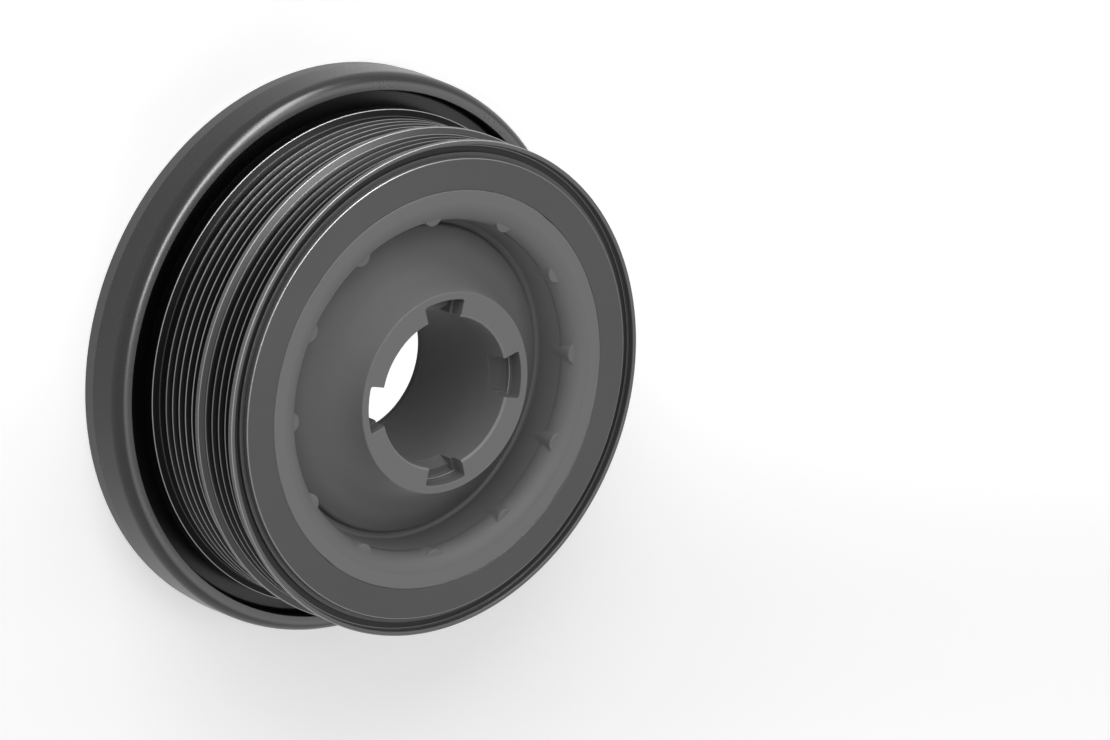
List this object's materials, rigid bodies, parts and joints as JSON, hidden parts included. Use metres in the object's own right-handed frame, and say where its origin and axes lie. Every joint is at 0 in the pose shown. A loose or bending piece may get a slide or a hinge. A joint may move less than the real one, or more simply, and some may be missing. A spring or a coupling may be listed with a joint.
{
  "type": "harmonic balancer",
  "caption": "Crankshaft torsional damper with inertia ring, double multi-rib belt pulley, dished hub with nubs and a pocketed nose around a central bore.",
  "frame": {"origin": "centre of the rear face of the inertia ring, on the crankshaft axis", "axes": "+Z along the crankshaft axis towards the front of the engine, +X through the middle of one nose pocket"},
  "size_m": [0.1936, 0.1936, 0.0727],
  "materials": {
    "cast_hub": "fine matte phosphate coating",
    "painted_iron": "black satin paint",
    "damper_rubber": "matte",
    "coated_pulley": "black satin coating",
    "sleeve_steel": "plain drawn steel",
    "coupling_rubber": "matte",
    "bush_plastic": "filled plain bearing plastic",
    "washer_plastic": "filled plain bearing plastic",
    "retaining_ring_steel": "dark satin coating"
  },
  "bodies": {
    "root": {"hub": "cast_hub", "inertia_ring": "painted_iron", "damper_rubber": "damper_rubber", "belt_pulley": "coated_pulley", "coupling_inner_sleeve": "sleeve_steel", "coupling_rubber": "coupling_rubber", "coupling_outer_sleeve": "sleeve_steel", "bearing_bush": "bush_plastic", "thrust_washer": "washer_plastic", "retaining_ring": "retaining_ring_steel"}
  },
  "joints": []
}
